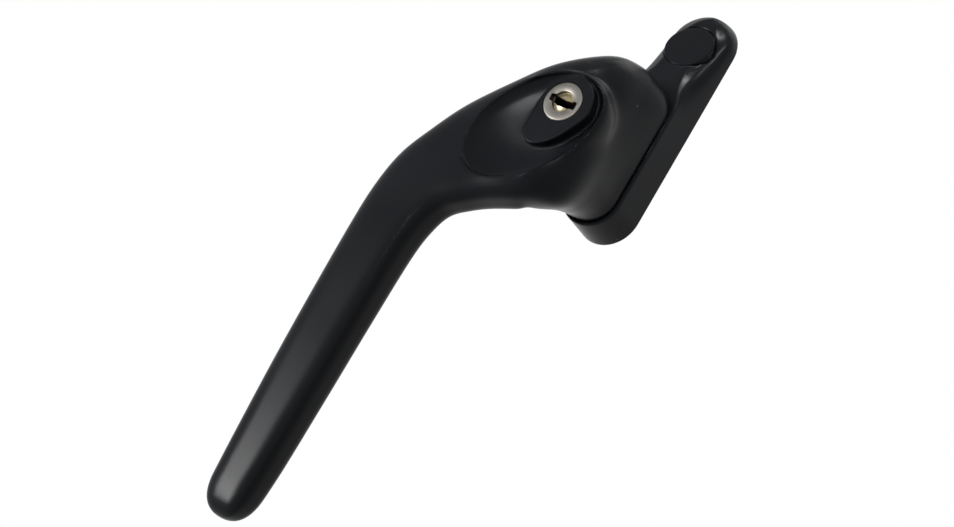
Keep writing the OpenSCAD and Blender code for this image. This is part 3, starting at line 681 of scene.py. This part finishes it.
def coat_group():
    group, given, made = new_group("powder_coat", [
        ("Place", None), ("Colour", (0.01, 0.01, 0.01, 1)), ("Grain", 700.0), ("Specks", 0.5)], MADE)
    place = given.outputs["Place"]
    fine = node(group, "ShaderNodeTexNoise", Vector=place, Scale=given.outputs["Grain"], Detail=3.0)
    broad = node(group, "ShaderNodeTexNoise", Vector=place, Scale=45.0, Detail=2.0)
    cells = node(group, "ShaderNodeTexVoronoi", Vector=place, Scale=150.0, Randomness=1.0)
    dot = node(group, "ShaderNodeMapRange", Value=cells.outputs["Distance"], i1=0.03, i2=0.07, i3=1.0,
               i4=0.0)
    rare = node(group, "ShaderNodeSeparateColor", Color=cells.outputs["Color"])
    few = node(group, "ShaderNodeMath", {"operation": "GREATER_THAN"}, i0=rare.outputs[0], i1=0.9)
    spots = node(group, "ShaderNodeMath", {"operation": "MULTIPLY"}, i0=dot.outputs[0], i1=few.outputs[0])
    amount = node(group, "ShaderNodeMath", {"operation": "MULTIPLY"}, i0=spots.outputs[0],
                  i1=given.outputs["Specks"])
    tone = node(group, "ShaderNodeMapRange", Value=broad.outputs[0], i1=0.0, i2=1.0, i3=0.7, i4=1.3)
    shade = node(group, "ShaderNodeVectorMath", {"operation": "SCALE"}, i0=given.outputs["Colour"],
                 Scale=tone.outputs[0])
    pale = node(group, "ShaderNodeMix", {"data_type": "RGBA"}, i0=amount.outputs[0], i6=shade.outputs[0],
                i7=PALE_SPECK)
    rough = node(group, "ShaderNodeMapRange", Value=broad.outputs[0], i1=0.0, i2=1.0, i3=0.21, i4=0.3)
    group.links.new(pale.outputs[2], made.inputs["Colour"])
    group.links.new(rough.outputs[0], made.inputs["Roughness"])
    group.links.new(fine.outputs[0], made.inputs["Height"])
    return group


def metal_group():
    group, given, made = new_group("turned_metal", [
        ("Place", None), ("Bright", (0.7, 0.7, 0.7, 1)), ("Dull", (0.4, 0.4, 0.4, 1)), ("Rings", 900.0),
        ("Smoothest", 0.25), ("Roughest", 0.45)], MADE)
    place = given.outputs["Place"]
    stain = node(group, "ShaderNodeTexNoise", Vector=place, Scale=420.0, Detail=4.0)
    rings = node(group, "ShaderNodeTexWave", {"wave_type": "RINGS", "rings_direction": "Y"}, Vector=place,
                 Scale=given.outputs["Rings"], Distortion=0.6, Detail=2.0)
    grit = node(group, "ShaderNodeTexNoise", Vector=place, Scale=2600.0, Detail=2.0)
    patch = node(group, "ShaderNodeMapRange", Value=stain.outputs[0], i1=0.4, i2=0.72)
    colour = node(group, "ShaderNodeMix", {"data_type": "RGBA"}, i0=patch.outputs[0],
                  i6=given.outputs["Bright"], i7=given.outputs["Dull"])
    rough = node(group, "ShaderNodeMapRange", Value=stain.outputs[0], i1=0.3, i2=0.7,
                 i3=given.outputs["Smoothest"], i4=given.outputs["Roughest"])
    height = node(group, "ShaderNodeMath", {"operation": "MULTIPLY_ADD"}, i0=rings.outputs[1], i1=0.6,
                  i2=grit.outputs[0])
    group.links.new(colour.outputs[2], made.inputs["Colour"])
    group.links.new(rough.outputs[0], made.inputs["Roughness"])
    group.links.new(height.outputs[0], made.inputs["Height"])
    return group


powder_coat, turned_metal = coat_group(), metal_group()
print("node groups:", powder_coat.name, turned_metal.name)


# %% Make the finishes
# near-black colour of the painted shade in the deep key slot
SLOT_PAINTED_SHADE = (0.05, 0.033, 0.045, 1)


def finish(name, group, values, bump, depth, centre=(0, 0, 0), metallic=0.0, specular=0.5, sunk=None):
    material = bpy.data.materials.new(name)
    material.use_nodes = True
    tree = material.node_tree
    shader = tree.nodes["Principled BSDF"]
    shader.inputs["Metallic"].default_value = metallic
    shader.inputs["Specular IOR Level"].default_value = specular
    place = node(tree, "ShaderNodeTexCoord")
    centred = node(tree, "ShaderNodeMapping", Vector=place.outputs["Object"],
                   Location=tuple(-v for v in centre))
    effect = tree.nodes.new("ShaderNodeGroup")
    effect.node_tree = group
    tree.links.new(centred.outputs[0], effect.inputs["Place"])
    for key, value in values.items():
        effect.inputs[key].default_value = value
    raised = node(tree, "ShaderNodeBump", Strength=bump, Distance=depth, Height=effect.outputs["Height"])
    colour = effect.outputs["Colour"]
    # painted shade: deeper than the given depth, the colour is mixed toward near-black, standing in for
    # the shade in the key slot
    if sunk:
        depth_at = node(tree, "ShaderNodeSeparateXYZ", Vector=place.outputs["Object"])
        below = node(tree, "ShaderNodeMapRange", Value=depth_at.outputs[1], i1=sunk[0], i2=sunk[1])
        colour = node(tree, "ShaderNodeMix", {"data_type": "RGBA"}, i0=below.outputs[0], i6=colour,
                      i7=SLOT_PAINTED_SHADE).outputs[2]
    tree.links.new(colour, shader.inputs["Base Color"])
    tree.links.new(effect.outputs["Roughness"], shader.inputs["Roughness"])
    tree.links.new(raised.outputs[0], shader.inputs["Normal"])
    return material


def coat(name, colour, grain, specks, bump, depth, specular):
    return finish(name, powder_coat, {"Colour": colour + (1,), "Grain": grain, "Specks": specks},
                  bump, depth, specular=specular)


def metal(name, bright, dull, rings, smoothest, roughest, bump, depth, **more):
    values = {"Bright": bright + (1,), "Dull": dull + (1,), "Rings": rings, "Smoothest": smoothest,
              "Roughest": roughest}
    return finish(name, turned_metal, values, bump, depth, metallic=1.0, **more)


lock_centre = (lock_side * MM, 0, lock_drop * MM)
black_coat = coat("black_coat", (0.0058, 0.0066, 0.0082), 900.0, 0.5, 0.12, 0.00002, 0.075)
black_cap = coat("black_cap", (0.0066, 0.0078, 0.0092), 1300.0, 0.0, 0.08, 0.00001, 0.055)
# the disc and the brass nose both get painted shade below their depth in the key slot
nickel = metal("satin_nickel", (0.16, 0.151, 0.138), (0.12, 0.112, 0.102), 3000.0, 0.33, 0.42,
               0.05, 0.000004, centre=lock_centre, sunk=(-0.0394, -0.0391))
brass = metal("brass", (0.33, 0.275, 0.16), (0.17, 0.14, 0.09), 2500.0, 0.3, 0.42,
              0.08, 0.000005, centre=lock_centre, sunk=(-0.0388, -0.0379))
bush_brass = metal("bush_brass", (0.72, 0.6, 0.34), (0.45, 0.37, 0.2), 1800.0, 0.25, 0.4, 0.08, 0.000005)
zinc = metal("zinc_steel", (0.6, 0.6, 0.62), (0.42, 0.42, 0.42), 1200.0, 0.28, 0.45, 0.06, 0.000005)
spring = metal("spring_steel", (0.42, 0.42, 0.44), (0.25, 0.24, 0.23), 1500.0, 0.3, 0.5, 0.05, 0.000004)
print("finishes:", [material.name for material in bpy.data.materials if material.use_nodes])

# %% Dress every piece
dressed = ((plate, black_coat), (lever, black_coat), (hub, black_coat), (cap, black_cap),
           (disc, nickel), (nose, brass), (bush, bush_brass))
for piece, material in dressed:
    piece.data.materials.clear()
    piece.data.materials.append(material)

by_slot = {"black_coat": black_coat, "black_cap": black_cap, "brass": brass, "satin_nickel": nickel,
           "zinc_steel": zinc, "spring_steel": spring}
for part in frame["record"]["subparts"]:
    solid = frame["nodes"][part["node"]]
    material = bush_brass if part["node"] == "pivot_bush" else by_slot[part["material_slot"]]
    if not solid.material_slots:
        solid.data.materials.append(material)
    for holder in solid.material_slots:
        holder.link = "OBJECT"
        holder.material = material
print("dressed", len(frame["nodes"]), "solids and", len(dressed), "new pieces")

# %% [markdown]
# ## Floor, surroundings and lamps
# The handle was shot on plain white. The floor is a pale plane well below the part. To the eye and
# in reflections the surroundings are plain white of strength one, and the light that falls on the
# part comes from a softer grey and five lamps. A tall window low on the left draws the long
# highlight down the grip, and a ceiling fills in from above. Three small lamps with a narrow beam
# light only the bowl of the dish, the crest of the head and the end of the plate.

# %% Floor and surroundings
def seen_or_mirrored(tree):
    path = node(tree, "ShaderNodeLightPath")
    both = node(tree, "ShaderNodeMath", {"operation": "MAXIMUM"}, i0=path.outputs["Is Camera Ray"],
                i1=path.outputs["Is Glossy Ray"])
    return node(tree, "ShaderNodeMath", {"operation": "MAXIMUM"}, i0=both.outputs[0],
                i1=path.outputs["Is Transmission Ray"]).outputs[0]


only(None)
bpy.ops.mesh.primitive_plane_add(size=8, location=(0, 0, -0.75))
floor = bpy.context.object
floor.name = "floor"
pale = bpy.data.materials.new("pale_floor")
pale.use_nodes = True
tree = pale.node_tree
matte = tree.nodes["Principled BSDF"]
matte.inputs["Base Color"].default_value = (0.8, 0.8, 0.8, 1)
matte.inputs["Roughness"].default_value = 0.9
glow = node(tree, "ShaderNodeEmission", Color=(1, 1, 1, 1), Strength=1.0)
white = node(tree, "ShaderNodeMixShader", Fac=seen_or_mirrored(tree))
tree.links.new(matte.outputs[0], white.inputs[1])
tree.links.new(glow.outputs[0], white.inputs[2])
tree.links.new(white.outputs[0], tree.nodes["Material Output"].inputs["Surface"])
floor.data.materials.append(pale)

world = bpy.data.worlds.new("white_studio")
scene.world = world
world.use_nodes = True
tree = world.node_tree
ambient = tree.nodes["Background"]
ambient.inputs["Color"].default_value = (1, 1, 1, 1)
ambient.inputs["Strength"].default_value = 0.25
backdrop = node(tree, "ShaderNodeBackground", Color=(1, 1, 1, 1), Strength=1.0)
white = node(tree, "ShaderNodeMixShader", Fac=seen_or_mirrored(tree))
tree.links.new(ambient.outputs[0], white.inputs[1])
tree.links.new(backdrop.outputs[0], white.inputs[2])
tree.links.new(white.outputs[0], tree.nodes["World Output"].inputs["Surface"])


# %% Lamps
def soft_lamp(name, place, aim, width, height, spread, watts):
    only(None)
    bpy.ops.object.light_add(type="AREA", location=place)
    lamp = bpy.context.object
    lamp.name = name
    lamp.data.shape = "RECTANGLE"
    lamp.data.size = width
    lamp.data.size_y = height
    lamp.data.spread = math.radians(spread)
    lamp.data.energy = watts
    lamp.rotation_mode = "QUATERNION"
    lamp.rotation_quaternion = (Vector(aim) - Vector(place)).to_track_quat("-Z", "Y")


def one_metre_off(azimuth, elevation):
    """A way of one metre, at an angle to the right of straight out of the sash and an angle up."""
    azimuth, elevation = math.radians(azimuth), math.radians(elevation)
    flat = math.cos(elevation)
    return (flat * math.sin(azimuth), -flat * math.cos(azimuth), math.sin(elevation))


GRIP_END, DISH = (-0.03, -0.05, -0.125), (-0.006, -0.04, -0.01)
CREST, PLATE_END = (0.004, -0.009, 0.006), (0.005, -0.006, 0.024)
# what it is aimed at, azimuth, elevation, width, height, spread of its beam and watts
LAMPS = {
    "window_low_left": (GRIP_END, -39, -12.5, 0.17, 0.48, 180, 12),
    "window_front": (DISH, -3, 9, 0.07, 0.07, 4, 0.0035),
    "crest_lamp": (CREST, 20, 57, 0.06, 0.06, 2.5, 0.004),
    "ceiling": (DISH, 175, 74, 0.5, 0.5, 180, 1.5),
    "end_lamp": (PLATE_END, 54, 35, 0.12, 0.1, 4, 0.009),
}
for name, (aim, azimuth, elevation, width, height, spread, watts) in LAMPS.items():
    off = one_metre_off(azimuth, elevation)
    soft_lamp(name, tuple(aim[i] + off[i] for i in range(3)), aim, width, height, spread, watts)
